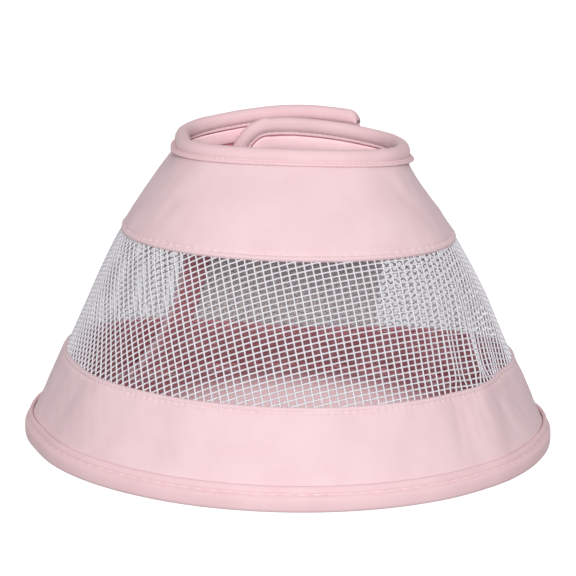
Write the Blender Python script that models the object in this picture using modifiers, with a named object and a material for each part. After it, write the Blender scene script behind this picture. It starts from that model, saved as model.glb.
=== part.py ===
"""Mesh recovery collar: a soft cone worn round the neck by a cat or a small dog.

It stands on its wide rim. The front faces -Y, the two flaps overlap at the back, +Y.
Every piece is laid out on one curved wall and then given its own thickness. A place on
the wall has an angle in degrees, 0 at the front and 90 at the right, and a level that
runs from 0 at the rim over 1 and 2 at the window's edges and 3 at the neck's seam to 4
at the neck's edge.
The strip goes round more than once: its inner end lies past +180, its outer end past -180.
"""

import math

import bmesh
import bpy
from mathutils import Vector

MM = 0.001

# Outline of the wall's middle surface, seen from above.
RIM_HALF_WIDTH = 94.4 * MM
RIM_FRONT_DEPTH = 93.8 * MM
RIM_BACK_DEPTH = 78.0 * MM
NECK_HALF_WIDTH = 37.4 * MM
NECK_FRONT_DEPTH = 33.0 * MM
NECK_BACK_DEPTH = 30.0 * MM

# Height of the wall up to the neck's edge at the front, and of its four zones.
WALL_HEIGHT = 105.0 * MM
LOWER_BAND_RISE = 0.286 * WALL_HEIGHT
WINDOW_RISE = 0.398 * WALL_HEIGHT
UPPER_BAND_RISE = 0.255 * WALL_HEIGHT
NECK_RISE = 0.061 * WALL_HEIGHT

# Cloth and tape.
BAND_WALL = 2.0 * MM
NET_WALL = 1.0 * MM
TAPE_WALL = 1.0 * MM
PATCH_WALL = 1.25 * MM
FIT_GAP = 0.3 * MM
FOLD_GAP = 0.42 * MM
PATCH_GAP = 0.4 * MM
SEAM_GAP = 0.5 * MM
FOOT_GAP = 0.4 * MM

# Widths of tape and patches, measured on the wall from the edge they sit on.
HEM_OUTER_WIDTH = 8.0 * MM
HEM_INNER_WIDTH = 7.5 * MM
HEM_FOOT_WIDTH = 2.2 * MM
NECK_OUTER_WIDTH = 6.8 * MM
NECK_INNER_WIDTH = 6.2 * MM
END_TAPE_WIDTH = 10.0 * MM
INNER_CORNER_RADIUS = 13.0 * MM
OUTER_CORNER_RADIUS = 3.2 * MM
FACING_WIDTH = 5.6 * MM
LOOP_PATCH_WIDTH = 63.0 * MM
HOOK_PATCH_WIDTH = 26.0 * MM
PATCH_LAP = 4.0 * MM
PATCH_FAN = 0.16  # how much wider a patch gets for each level down the cone

# The net, cut through in columns and rows of gaps.
NET_COLUMNS = 30
NET_ROWS = 4
NET_RIB = 3.0 * MM

# How the flaps leave the plain cone near their ends.
OUTER_FLAP_LIFT = 4.6 * MM
INNER_FLAP_LIFT = 2.0 * MM
INNER_FLAP_CURL = 3.2 * MM
NECK_LEAN = 0.5 * MM
OUTER_FLAP_START_ANGLE = 85.0
OUTER_FLAP_CLEAR_ANGLE = 132.0

# One row for each level: how much of the run from neck to rim is left at the side,
# front and back, the squareness of the outline (2 is an ellipse), and how far round the
# strip reaches to its inner and its outer end, in degrees from the front.
LEVELS = (
    dict(side=1.00, front=1.000, back=1.00, square=2.00, inner_end=228.5, outer_end=209.0),
    dict(side=0.74, front=0.775, back=0.52, square=2.00, inner_end=227.5, outer_end=211.0),
    dict(side=0.395, front=0.430, back=0.26, square=2.12, inner_end=225.5, outer_end=213.5),
    dict(side=0.055, front=0.070, back=0.03, square=2.45, inner_end=217.5, outer_end=216.0),
    dict(side=0.00, front=0.000, back=0.00, square=2.55, inner_end=217.5, outer_end=216.5),
)

# One row for each zone: its rise at the side, front and back as a share of the named rise.
RISES = (
    dict(rise=LOWER_BAND_RISE, side=1.00, front=1.00, back=0.80),
    dict(rise=WINDOW_RISE, side=1.00, front=1.00, back=1.08),
    dict(rise=UPPER_BAND_RISE, side=1.00, front=1.00, back=1.25),
    dict(rise=NECK_RISE, side=1.00, front=1.00, back=1.00),
)

# Soft dents and swells of the cloth. Depth is a share of the band's wall, inwards if negative.
DENTS = (
    dict(angle=-66, level=0.50, across=7, along=0.55, depth=-0.55),
    dict(angle=-50, level=0.85, across=9, along=0.25, depth=0.30),
    dict(angle=-33, level=0.45, across=6, along=0.30, depth=-0.30),
    dict(angle=42, level=0.60, across=5, along=0.45, depth=-0.45),
    dict(angle=50, level=0.70, across=5, along=0.40, depth=0.40),
    dict(angle=68, level=0.75, across=6, along=0.40, depth=-0.60),
    dict(angle=66, level=1.25, across=7, along=0.35, depth=-0.80),
    dict(angle=88, level=2.35, across=32, along=0.60, depth=-1.45),
    dict(angle=104, level=0.00, across=13, along=0.50, depth=-1.30),
    dict(angle=-104, level=0.00, across=12, along=0.50, depth=-1.30),
)

RIM, WINDOW_BOTTOM, WINDOW_TOP, NECK = 0.0, 1.0, 2.0, 4.0
UPPER_BAND_STEPS = (0, 0.26, 0.525, 0.79, 1)
END_LEVELS = (0.31, 0.54, 0.77, 1.0, 1.25, 1.5, 1.75, 2.0, 2.25, 2.5, 2.75, 3.0, 3.3)

# The tape's fold runs round the cloth's edge with room for it.
FOLD_RADIUS = BAND_WALL / 2 + FOLD_GAP + TAPE_WALL / 2
EDGE_INSET = FOLD_RADIUS + TAPE_WALL / 2

# The outer flap lies outside the inner one, with both patches or both tapes between them.
PATCH_STACK = BAND_WALL + 2 * PATCH_WALL + 2 * PATCH_GAP + FIT_GAP
TAPE_STACK = 2 * (FOLD_RADIUS + TAPE_WALL / 2) + FIT_GAP
FLAP_SPACING = max(PATCH_STACK, TAPE_STACK)

STATION_ANGLE = 7.1
STRIDE = 3.0 * MM
PINK = (0.905, 0.66, 0.675, 1.0)
PALE_PINK = (0.96, 0.70, 0.72, 1.0)
WHITE = (0.90, 0.90, 0.92, 1.0)
GREY = (0.62, 0.61, 0.61, 1.0)


def ease(value):
    """0 before 0, 1 after 1, and smooth between them."""
    value = min(max(value, 0.0), 1.0)
    return value * value * (3 - 2 * value)


def level_slope(values, level):
    """The slope of a curve through the values at one of them, so that it never overshoots."""
    before = values[max(level, 1)] - values[max(level, 1) - 1]
    last = len(values) - 2
    after = values[min(level, last) + 1] - values[min(level, last)]
    if before * after <= 0:
        return 0.0
    return 2 * before * after / (before + after)


def between_levels(values, level):
    """A smooth curve through one value for each level."""
    low = min(max(int(level), 0), len(values) - 2)
    share = level - low
    start, end = values[low], values[low + 1]
    leave, arrive = level_slope(values, low), level_slope(values, low + 1)
    square, cube = share * share, share**3
    return (
        (2 * cube - 3 * square + 1) * start
        + (cube - 2 * square + share) * leave
        + (3 * square - 2 * cube) * end
        + (cube - square) * arrive
    )


def outline_size(side, rim, neck, level):
    """Half a width or depth of the outline at this level."""
    shares = [row[side] for row in LEVELS]
    return neck + (rim - neck) * between_levels(shares, level)


def plain_radius(angle, level):
    """Distance of the plain cone's wall from the upright axis."""
    half_width = outline_size("side", RIM_HALF_WIDTH, NECK_HALF_WIDTH, level)
    if math.cos(math.radians(angle)) >= 0:
        depth = outline_size("front", RIM_FRONT_DEPTH, NECK_FRONT_DEPTH, level)
    else:
        depth = outline_size("back", RIM_BACK_DEPTH, NECK_BACK_DEPTH, level)
    square = between_levels([row["square"] for row in LEVELS], level)
    across = abs(math.sin(math.radians(angle))) / half_width
    along = abs(math.cos(math.radians(angle))) / depth
    return (across**square + along**square) ** (-1 / square)


def plain_height(angle, level):
    """Height of the plain cone's wall, blended from side, front and back."""
    turn = math.cos(math.radians(angle))
    weights = dict(side=1 - turn * turn, front=max(turn, 0) ** 2, back=min(turn, 0) ** 2)
    height = 0.0
    for side, weight in weights.items():
        steps = [row["rise"] * row[side] for row in RISES]
        heights = [sum(steps[:count]) for count in range(len(steps) + 1)]
        height += weight * between_levels(heights, level)
    return height


def wall_height(angle, level):
    """Height of the wall above the table, with the neck's lean and the flaps' lift."""
    lean = NECK_LEAN * math.sin(math.radians(angle))
    outer = OUTER_FLAP_LIFT * ease((-angle - 75) / 125)
    inner = INNER_FLAP_LIFT * ease((angle - 165) / 50)
    inner *= math.sin(math.pi * min(max(level, 0), NECK) / NECK)
    raised = 1 - (1 - level / NECK) ** 2
    return plain_height(angle, level) + (outer - lean) * raised + inner


def slope(angle, level):
    """The wall's run inwards for each unit of its rise."""
    step = 0.02
    run = plain_radius(angle, level - step) - plain_radius(angle, level + step)
    rise = plain_height(angle, level + step) - plain_height(angle, level - step)
    return run / rise


def wall_radius(angle, level):
    """Distance of the wall's middle surface from the upright axis."""
    radius = plain_radius(angle, level)
    turning = OUTER_FLAP_CLEAR_ANGLE - OUTER_FLAP_START_ANGLE
    outside = ease((-angle - OUTER_FLAP_START_ANGLE) / turning)
    if outside:
        radius += FLAP_SPACING * outside * math.sqrt(1 + slope(angle, level) ** 2)
    radius -= INNER_FLAP_CURL * ease((angle - 180) / 38) * ease((level - 1.4) / 1.6)
    for dent in DENTS:
        far = ((angle - dent["angle"]) / dent["across"]) ** 2
        far += ((level - dent["level"]) / dent["along"]) ** 2
        radius += dent["depth"] * BAND_WALL * math.exp(-far)
    return radius


def wall_middle(angle, level):
    radius = wall_radius(angle, level)
    turn = math.radians(angle)
    height = wall_height(angle, level)
    return Vector((radius * math.sin(turn), -radius * math.cos(turn), height))


def wall_slopes(angle, level):
    """How the middle surface moves for one degree and for one level."""
    degree, step = 0.25, 0.01
    round_it = wall_middle(angle + degree, level) - wall_middle(angle - degree, level)
    up_it = wall_middle(angle, level + step) - wall_middle(angle, level - step)
    return round_it / (2 * degree), up_it / (2 * step)


def wall_point(angle, level, out=0.0):
    """A point that lies a distance outside the middle surface."""
    round_it, up_it = wall_slopes(angle, level)
    return wall_middle(angle, level) + out * round_it.cross(up_it).normalized()


def moved(angle, level, round_by, up_by):
    """The angle and level reached by going these distances over the wall, in short steps."""
    steps = 1 + int(max(abs(round_by), abs(up_by)) / STRIDE)
    for _ in range(steps):
        round_it, up_it = wall_slopes(angle, level)
        there = angle + 0.5 * round_by / steps / round_it.length
        round_it, up_it = wall_slopes(there, level + 0.5 * up_by / steps / up_it.length)
        angle += round_by / steps / round_it.length
        level += up_by / steps / up_it.length
    return angle, level


def inner_end(level):
    return between_levels([row["inner_end"] for row in LEVELS], level)


def outer_end(level):
    return -between_levels([row["outer_end"] for row in LEVELS], level)


def strip_angle(share, level, start_inset=EDGE_INSET, end_inset=EDGE_INSET):
    """Angle at a share of the way round, from the outer end to the inner end."""
    start, _ = moved(outer_end(level), level, start_inset, 0)
    end, _ = moved(inner_end(level), level, -end_inset, 0)
    return start + (end - start) * share


def rim_inset(angle):
    """How far up the slanting wall the cloth starts, above the tape's flat foot."""
    lean = math.atan(slope(angle, 0.05))
    return (TAPE_WALL + FOOT_GAP + FOLD_RADIUS * math.sin(lean)) / math.cos(lean)


def spaced(start, end, count):
    return [start + (end - start) * index / count for index in range(count + 1)]


def round_stations():
    """Shares of the way round, a few degrees apart."""
    return spaced(0, 1, round((inner_end(NECK) - outer_end(NECK)) / STATION_ANGLE))


def collection_for(name):
    made = bpy.data.collections.new(name)
    bpy.context.scene.collection.children.link(made)
    return made


def material_for(name, colour, roughness):
    made = bpy.data.materials.new(name)
    made.use_nodes = True
    shader = made.node_tree.nodes["Principled BSDF"]
    shader.inputs["Base Color"].default_value = colour
    shader.inputs["Roughness"].default_value = roughness
    shader.inputs["Metallic"].default_value = 0.0
    return made


def cloth(name, rows, wall, material, is_gap=None):
    """A sheet laid through rows of points and given its wall, half to each side."""
    mesh = bpy.data.meshes.new(name)
    body = bmesh.new()
    columns = len(rows[0])
    bmesh.ops.create_grid(body, x_segments=columns - 1, y_segments=len(rows) - 1, size=1.0)
    body.verts.ensure_lookup_table()
    for index, vertex in enumerate(body.verts):
        vertex.co = rows[index // columns][index % columns]
    if is_gap:
        faces = list(body.faces)
        gaps = [f for i, f in enumerate(faces) if is_gap(i % (columns - 1), i // (columns - 1))]
        bmesh.ops.delete(body, geom=gaps, context="FACES_ONLY")
    body.to_mesh(mesh)
    body.free()
    made = bpy.data.objects.new(name, mesh)
    collar.objects.link(made)
    mesh.materials.append(material)
    mesh.shade_smooth()
    solid = made.modifiers.new("wall", "SOLIDIFY")
    solid.thickness = wall
    solid.offset = 0.0
    solid.use_even_offset = True
    solid.use_quality_normals = True
    return made


def band(low, high, low_inset, high_inset, rounds, steps_up):
    """Places over a cloth band, row by row, between its insets from two levels."""
    rows = []
    for share_up in steps_up:
        row = []
        for share_round in rounds:
            angle = strip_angle(share_round, low)
            _, bottom = moved(angle, low, 0, low_inset(angle))
            angle_top = strip_angle(share_round, high)
            _, top = moved(angle_top, high, 0, -high_inset(angle_top))
            level = bottom + (top - bottom) * share_up
            row.append((strip_angle(share_round, level), level))
        rows.append(row)
    return rows


def make_lower_band():
    places = band(RIM, WINDOW_BOTTOM, rim_inset, seam_inset, round_stations(), spaced(0, 1, 4))
    rows = [[wall_point(angle, level) for angle, level in row] for row in places]
    cloth("lower_band", rows, BAND_WALL, twill)


def seam_inset(angle):
    return SEAM_GAP / 2


def neck_inset(angle):
    """The upper band's edge under the tape, with both flaps' round corners."""
    inset = EDGE_INSET
    for share, radius in ((1, INNER_CORNER_RADIUS), (0, OUTER_CORNER_RADIUS)):
        end = strip_angle(share, NECK)
        _, lowered = moved(end, NECK, 0, -radius)
        round_it, _ = wall_slopes(end, lowered)
        radius -= EDGE_INSET
        past = radius - abs(end - angle) * round_it.length
        past = min(max(past, 0.0), radius)
        inset += radius - math.sqrt(radius * radius - past * past)
    return inset


def make_upper_band():
    round_it, _ = wall_slopes(strip_angle(1, NECK), NECK)
    length = (strip_angle(1, NECK) - strip_angle(0, NECK)) * round_it.length
    corner = 1 - (INNER_CORNER_RADIUS - EDGE_INSET) / length
    rounds = [share for share in round_stations() if share < corner - 0.01]
    rounds += [corner + (1 - corner) * math.sin(turn) for turn in spaced(0, math.pi / 2, 6)]
    places = band(WINDOW_TOP, NECK, seam_inset, neck_inset, rounds, UPPER_BAND_STEPS)
    rows = [[wall_point(angle, level) for angle, level in row] for row in places]
    cloth("upper_band", rows, BAND_WALL, twill)


def alternating(low, high, count, rib):
    """Lines at both sides of each rib, from one edge to the other."""
    gap = (high - low - (count + 1) * rib) / count
    lines = [low]
    for index in range(count):
        lines.append(low + (index + 1) * rib + index * gap)
        lines.append(low + (index + 1) * (rib + gap))
    return lines + [high]


def make_net_panel():
    middle = (WINDOW_BOTTOM + WINDOW_TOP) / 2
    round_it, up_it = wall_slopes(90, middle)
    sweep = strip_angle(1, middle) - strip_angle(0, middle)
    round_rib = NET_RIB / round_it.length / sweep
    up_rib = NET_RIB / up_it.length
    _, low = moved(0, WINDOW_BOTTOM, 0, SEAM_GAP / 2)
    _, high = moved(0, WINDOW_TOP, 0, -SEAM_GAP / 2)
    rows = []
    for level in alternating(low, high, NET_ROWS, up_rib):
        shares = alternating(0, 1, NET_COLUMNS, round_rib)
        rows.append([wall_point(strip_angle(share, level), level) for share in shares])
    cloth("net_panel", rows, NET_WALL, net, lambda column, row: column % 2 and row % 2)


def folded_across(outer_width, inner_width, folds):
    """Steps across a folded tape, as distances in from the edge and out from the wall."""
    steps = [(outer_width, FOLD_RADIUS), ((outer_width + EDGE_INSET) / 2, FOLD_RADIUS)]
    for turn in spaced(0, math.pi, folds):
        steps.append((EDGE_INSET - FOLD_RADIUS * math.sin(turn), FOLD_RADIUS * math.cos(turn)))
    return steps + [((inner_width + EDGE_INSET) / 2, -FOLD_RADIUS), (inner_width, -FOLD_RADIUS)]


def make_hem_binding():
    rows = []
    for share in round_stations():
        angle = strip_angle(share, RIM, 0, 0)
        turn = math.radians(angle)
        outwards = Vector((math.sin(turn), -math.cos(turn), 0))
        row = []
        fold = rim_inset(angle)
        for width in (HEM_OUTER_WIDTH, (HEM_OUTER_WIDTH + fold) / 2, fold):
            there, level = moved(angle, RIM, 0, width)
            row.append(wall_point(there, level, FOLD_RADIUS))
        _, level = moved(angle, RIM, 0, EDGE_INSET)
        under = wall_middle(angle, level)
        under.z = TAPE_WALL / 2
        row.append(under + outwards * HEM_FOOT_WIDTH / 2)
        row.append(under - outwards * HEM_FOOT_WIDTH / 2)
        for width in (fold, HEM_INNER_WIDTH):
            there, level = moved(angle, RIM, 0, width)
            row.append(wall_point(there, level, -FOLD_RADIUS))
        rows.append(row)
    hem = cloth("hem_binding", rows, TAPE_WALL, tape)
    press_foot_flat(hem)


def press_foot_flat(folded):
    """Makes the tape a plain mesh and sets the underside of its foot on the table."""
    graph = bpy.context.evaluated_depsgraph_get()
    graph.update()
    mesh = bpy.data.meshes.new_from_object(folded.evaluated_get(graph))
    folded.modifiers.clear()
    for vertex in mesh.vertices:
        if vertex.co.z < TAPE_WALL / 3:
            vertex.co.z = 0.0
    folded.data = mesh


def along_neck(across):
    """Places across a strip that follows the neck's edge and both flaps' corners."""
    rows = []
    end = outer_end(NECK)
    round_it, _ = wall_slopes(end, NECK)
    for turn in (0, 30, 60):
        past = OUTER_CORNER_RADIUS * (1 - math.cos(math.radians(turn)))
        drop = OUTER_CORNER_RADIUS * (1 - math.sin(math.radians(turn)))
        row = []
        for width, out in across:
            side = NECK_OUTER_WIDTH if out > 0 else NECK_INNER_WIDTH
            _, level = moved(end, NECK, 0, -drop - width * (1 - drop / side))
            row.append((outer_end(level) + past / round_it.length, level, out))
        rows.append(row)
    start = end + OUTER_CORNER_RADIUS / round_it.length
    _, corner_level = moved(inner_end(NECK), NECK, 0, -INNER_CORNER_RADIUS)
    corner_starts, _ = moved(inner_end(corner_level), corner_level, -INNER_CORNER_RADIUS, 0)
    for angle in spaced(start, corner_starts, round((corner_starts - start) / STATION_ANGLE)):
        row = []
        for width, out in across:
            there, level = moved(angle, NECK, 0, -width)
            row.append((there, level, out))
        rows.append(row)
    for turn in spaced(0, math.pi / 2, 6)[1:]:
        row = []
        for width, out in across:
            reach = INNER_CORNER_RADIUS - width
            round_by, up_by = reach * math.sin(turn), reach * math.cos(turn)
            row.append((*moved(corner_starts, corner_level, round_by, up_by), out))
        rows.append(row)
    return rows


def make_neck_binding():
    across = folded_across(NECK_OUTER_WIDTH, NECK_INNER_WIDTH, 5)
    rows = [[wall_point(*place) for place in row] for row in along_neck(across)]
    cloth("neck_binding", rows, TAPE_WALL, tape)


def make_end_binding(name, end_at, inwards, low_inset, high_inset):
    """Tape folded over a flap's end, between the hem's tape and the neck's."""
    across = folded_across(END_TAPE_WIDTH, END_TAPE_WIDTH, 4)
    _, low = moved(end_at(RIM), RIM, 0, low_inset + FIT_GAP)
    _, high = moved(end_at(NECK), NECK, 0, -high_inset - FIT_GAP)
    levels = [low] + [level for level in END_LEVELS if low + 0.05 < level < high - 0.05] + [high]
    rows = []
    for level in levels:
        row = []
        for width, out in across:
            there, _ = moved(end_at(level), level, inwards * width, 0)
            row.append(wall_point(there, level, out))
        rows.append(row)
    cloth(name, rows, TAPE_WALL, tape)


def make_neck_facing():
    """A strip inside the neck that carries on where the tape ends."""
    near = NECK_INNER_WIDTH + SEAM_GAP
    across = [(near, -FOLD_RADIUS), (near + FACING_WIDTH, -FOLD_RADIUS)]
    end, _ = moved(outer_end(NECK), NECK, END_TAPE_WIDTH + FIT_GAP, 0)
    rows = [[wall_point(*place) for place in row] for row in along_neck(across) if row[0][0] > end]
    cloth("neck_facing", rows, TAPE_WALL, facing)


def make_patch(name, end_at, inwards, width, out, columns):
    """Hook or loop tape over the window, sewn to both bands next to a flap's end."""
    _, low = moved(end_at(WINDOW_BOTTOM), WINDOW_BOTTOM, 0, -PATCH_LAP)
    _, high = moved(end_at(WINDOW_TOP), WINDOW_TOP, 0, PATCH_LAP)
    rows = []
    for level in (low, *spaced(WINDOW_BOTTOM, WINDOW_TOP, 3), high):
        near = END_TAPE_WIDTH + FIT_GAP
        row = []
        wide = width * (1 + PATCH_FAN * (WINDOW_TOP - level))
        for distance in spaced(near, near + wide, columns):
            angle, _ = moved(end_at(level), level, inwards * distance, 0)
            row.append(wall_point(angle, level, out))
        rows.append(row)
    cloth(name, rows, PATCH_WALL, patch)


def centre_on_origin():
    """Moves every piece so that the middle of the collar's footprint is the origin."""
    graph = bpy.context.evaluated_depsgraph_get()
    graph.update()
    corners = [Vector(at) for made in collar.objects for at in made.evaluated_get(graph).bound_box]
    for made in collar.objects:
        made.location.x = -(min(at.x for at in corners) + max(at.x for at in corners)) / 2
        made.location.y = -(min(at.y for at in corners) + max(at.y for at in corners)) / 2


for leftover in list(bpy.data.objects):
    bpy.data.objects.remove(leftover)
collar = collection_for("mesh_recovery_collar")
twill = material_for("pink_cotton_twill", PINK, 0.85)
tape = material_for("pink_bias_tape", PINK, 0.8)
facing = material_for("pale_pink_facing", PALE_PINK, 0.85)
net = material_for("white_coated_net", WHITE, 0.45)
patch = material_for("grey_hook_and_loop", GREY, 0.95)

make_lower_band()
make_net_panel()
make_upper_band()
make_hem_binding()
make_neck_binding()
make_end_binding("inner_end_binding", inner_end, -1, HEM_OUTER_WIDTH, INNER_CORNER_RADIUS)
neck_legs = max(NECK_OUTER_WIDTH, NECK_INNER_WIDTH)
make_end_binding("outer_end_binding", outer_end, 1, HEM_OUTER_WIDTH, neck_legs)
make_neck_facing()
patch_out = BAND_WALL / 2 + PATCH_GAP + PATCH_WALL / 2
make_patch("loop_patch", inner_end, -1, LOOP_PATCH_WIDTH, patch_out, 12)
make_patch("hook_patch", outer_end, 1, HOOK_PATCH_WIDTH, -patch_out, 6)
centre_on_origin()
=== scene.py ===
# %% [markdown]
# Mesh recovery collar. It is a soft cone that a cat or a small dog wears round the neck
# after an operation. It has two bands of pink twill with a window of white net between
# them, tape rolled over each edge, and two flaps that close on each other at the back.
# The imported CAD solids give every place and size. This script dresses each of them with
# the cloth, the net and the sewing that the eye sees, and changes none of their sizes.

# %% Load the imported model
import math

import bmesh
import bpy
import numpy as np
from mathutils import Matrix, Vector


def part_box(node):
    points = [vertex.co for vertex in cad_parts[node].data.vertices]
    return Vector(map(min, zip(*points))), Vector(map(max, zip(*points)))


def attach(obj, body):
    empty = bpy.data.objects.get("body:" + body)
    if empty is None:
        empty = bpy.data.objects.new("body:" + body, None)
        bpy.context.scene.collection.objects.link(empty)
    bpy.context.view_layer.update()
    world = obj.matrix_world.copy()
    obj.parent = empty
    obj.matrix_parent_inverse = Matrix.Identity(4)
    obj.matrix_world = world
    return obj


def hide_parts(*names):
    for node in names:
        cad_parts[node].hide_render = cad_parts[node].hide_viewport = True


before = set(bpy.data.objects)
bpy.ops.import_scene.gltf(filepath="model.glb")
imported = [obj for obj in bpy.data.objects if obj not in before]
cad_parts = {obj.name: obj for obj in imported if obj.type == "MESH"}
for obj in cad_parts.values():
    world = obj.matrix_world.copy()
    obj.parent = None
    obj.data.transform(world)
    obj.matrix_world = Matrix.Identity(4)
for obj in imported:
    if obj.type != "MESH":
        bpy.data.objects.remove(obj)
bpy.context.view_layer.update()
MM = 0.001

# %% [markdown]
# Every piece of the collar lies on one curved wall, so the script needs that wall before
# anything else. A place on it is an angle, 0 at the front and 90 at the right, and a
# level: 0 at the rim, 1 and 2 at the window's edges, 3 at the neck's seam and 4 at its
# edge. The numbers are those of the CAD source. Numpy works them out for thousands of
# points at once, which a loop over single points would do far too slowly.

# %% The wall's sizes
SHIFT = np.array((0.121, 4.537, 0.0)) * MM
RIM = dict(side=94.4, front=93.8, back=78.0)
NECK = dict(side=37.4, front=33.0, back=30.0)
ZONE_RISES = np.array((0.286, 0.398, 0.255, 0.061)) * 105.0
RISE_SHARES = dict(side=(1, 1, 1, 1), front=(1, 1, 1, 1), back=(0.80, 1.08, 1.25, 1))
RUN_SHARES = dict(
    side=(1.0, 0.74, 0.395, 0.055, 0.0),
    front=(1.0, 0.775, 0.43, 0.07, 0.0),
    back=(1.0, 0.52, 0.26, 0.03, 0.0),
)
SQUARENESS = (2.0, 2.0, 2.12, 2.45, 2.55)
INNER_END = (228.5, 227.5, 225.5, 217.5, 217.5)
OUTER_END = (209.0, 211.0, 213.5, 216.0, 216.5)
DENTS = (
    (-66, 0.50, 7, 0.55, -0.55), (-50, 0.85, 9, 0.25, 0.30), (-33, 0.45, 6, 0.30, -0.30),
    (42, 0.60, 5, 0.45, -0.45), (50, 0.70, 5, 0.40, 0.40), (68, 0.75, 6, 0.40, -0.60),
    (66, 1.25, 7, 0.35, -0.80), (88, 2.35, 32, 0.60, -1.45),
    (104, 0.00, 13, 0.50, -1.30), (-104, 0.00, 12, 0.50, -1.30),
)
BAND_WALL, TAPE_WALL, PATCH_WALL = 2.0 * MM, 1.0 * MM, 1.25 * MM
FOLD_RADIUS, EDGE_INSET, FLAP_SPACING = 1.92 * MM, 2.42 * MM, 5.6 * MM
HEM_OUTER, NECK_OUTER, NECK_INNER, END_TAPE = 8.0 * MM, 6.8 * MM, 6.2 * MM, 10.0 * MM
INNER_CORNER, OUTER_CORNER = 13.0 * MM, 3.2 * MM
SEAM_GAP, PATCH_GAP = 0.3 * MM, 0.4 * MM  # between two tapes, and below a patch
OUTER_LIFT, INNER_LIFT, INNER_CURL, NECK_LEAN = 4.6, 2.0, 3.2, 0.5  # mm
OUTER_START, OUTER_CLEAR = 85, 132  # degrees to the left, where the outer flap leaves the cone


# %% Curves through the levels
def ease(value):
    """0 before 0, 1 after 1, and smooth between them."""
    value = np.clip(value, 0.0, 1.0)
    return value * value * (3 - 2 * value)


def bump(value, centre, width):
    """A soft hill, 1 at its centre."""
    return np.exp(-(((value - centre) / width) ** 2))


def between_levels(values, level):
    """A smooth curve through one value for each level, which never overshoots."""
    values = np.asarray(values, float)
    steps = np.diff(values)
    product = steps[:-1] * steps[1:]
    total = np.where(product > 0, steps[:-1] + steps[1:], 1.0)
    slopes = np.concatenate(([steps[0]], np.where(product > 0, 2 * product / total, 0), [steps[-1]]))
    low = np.clip(np.asarray(level, float).astype(int), 0, len(values) - 2)
    share = level - low
    square, cube = share**2, share**3
    return (
        (2 * cube - 3 * square + 1) * values[low]
        + (cube - 2 * square + share) * slopes[low]
        + (3 * square - 2 * cube) * values[low + 1]
        + (cube - square) * slopes[low + 1]
    )


# %% The plain cone, and the wall with its flaps and dents
def outline_size(side, level):
    """Half a width or depth of the outline at this level, in metres."""
    return (NECK[side] + (RIM[side] - NECK[side]) * between_levels(RUN_SHARES[side], level)) * MM


def plain_radius(angle, level):
    """How far the cone without flaps and dents is from its axis."""
    turn = np.radians(angle)
    depth = np.where(np.cos(turn) >= 0, outline_size("front", level), outline_size("back", level))
    square = between_levels(SQUARENESS, level)
    across = np.abs(np.sin(turn)) / outline_size("side", level)
    return (across**square + (np.abs(np.cos(turn)) / depth) ** square) ** (-1 / square)


def plain_height(angle, level):
    """Its height above the rim, which differs a little between front, sides and back."""
    turn = np.cos(np.radians(angle))
    weights = dict(side=1 - turn**2, front=np.maximum(turn, 0) ** 2, back=np.minimum(turn, 0) ** 2)
    height = 0.0
    for side, weight in weights.items():
        rises = np.concatenate(([0.0], np.cumsum(ZONE_RISES * RISE_SHARES[side])))
        height = height + weight * between_levels(rises, level) * MM
    return height


def wall_height(angle, level):
    """The height with the neck's lean and the lift of both flaps."""
    lean = NECK_LEAN * np.sin(np.radians(angle))
    outer = OUTER_LIFT * ease((-angle - 75) / 125)
    inner = INNER_LIFT * ease((angle - 165) / 50) * np.sin(math.pi * np.clip(level, 0, 4) / 4)
    return plain_height(angle, level) + ((outer - lean) * (1 - (1 - level / 4) ** 2) + inner) * MM


def wall_lean(angle, level):
    """The wall's run inwards for each unit of its rise."""
    run = plain_radius(angle, level - 0.02) - plain_radius(angle, level + 0.02)
    return run / (plain_height(angle, level + 0.02) - plain_height(angle, level - 0.02))


def wall_middle(angle, level):
    """Points on the wall's middle surface, the outer flap clear of the inner one."""
    angle, level = np.broadcast_arrays(np.asarray(angle, float), np.asarray(level, float))
    outside = ease((-angle - OUTER_START) / (OUTER_CLEAR - OUTER_START))
    radius = plain_radius(angle, level)
    radius = radius + FLAP_SPACING * outside * np.sqrt(1 + wall_lean(angle, level) ** 2)
    radius = radius - INNER_CURL * MM * ease((angle - 180) / 38) * ease((level - 1.4) / 1.6)
    for at_angle, at_level, across, along, depth in DENTS:
        dent = bump(angle, at_angle, across) * bump(level, at_level, along)
        radius = radius + depth * BAND_WALL * dent
    turn = np.radians(angle)
    return np.stack((radius * np.sin(turn), -radius * np.cos(turn), wall_height(angle, level)), -1)


def wall_slopes(angle, level):
    """How the middle surface moves for one degree and for one level."""
    round_it = wall_middle(angle + 0.25, level) - wall_middle(angle - 0.25, level)
    up_it = wall_middle(angle, level + 0.01) - wall_middle(angle, level - 0.01)
    return round_it / 0.5, up_it / 0.02


def unit(vectors):
    return vectors / np.linalg.norm(vectors, axis=-1, keepdims=True)


def place(angle, level, out=0.0):
    """Points a distance outside the wall's middle surface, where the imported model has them."""
    round_it, up_it = wall_slopes(angle, level)
    normal = unit(np.cross(round_it, up_it))
    return wall_middle(angle, level) + np.asarray(out)[..., None] * normal + SHIFT


def moved(angle, level, round_by, up_by):
    """The angle and level reached by going these distances over the wall, in short steps."""
    angle, level, round_by, up_by = np.broadcast_arrays(angle, level, round_by, up_by)
    steps = 1 + int(max(np.abs(round_by).max(), np.abs(up_by).max()) / (3 * MM))
    for _ in range(steps):
        round_it, up_it = wall_slopes(angle, level)
        there = angle + 0.5 * round_by / steps / np.linalg.norm(round_it, axis=-1)
        above = level + 0.5 * up_by / steps / np.linalg.norm(up_it, axis=-1)
        round_it, up_it = wall_slopes(there, above)
        angle = angle + round_by / steps / np.linalg.norm(round_it, axis=-1)
        level = level + up_by / steps / np.linalg.norm(up_it, axis=-1)
    return angle, level


band_low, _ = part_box("lower_band")
front = place(0.0, 0.5, BAND_WALL / 2)
print("Front of the wall, mm:", np.round(front / MM, 1), "and of the solid:", round(band_low.y / MM, 1))

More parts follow.
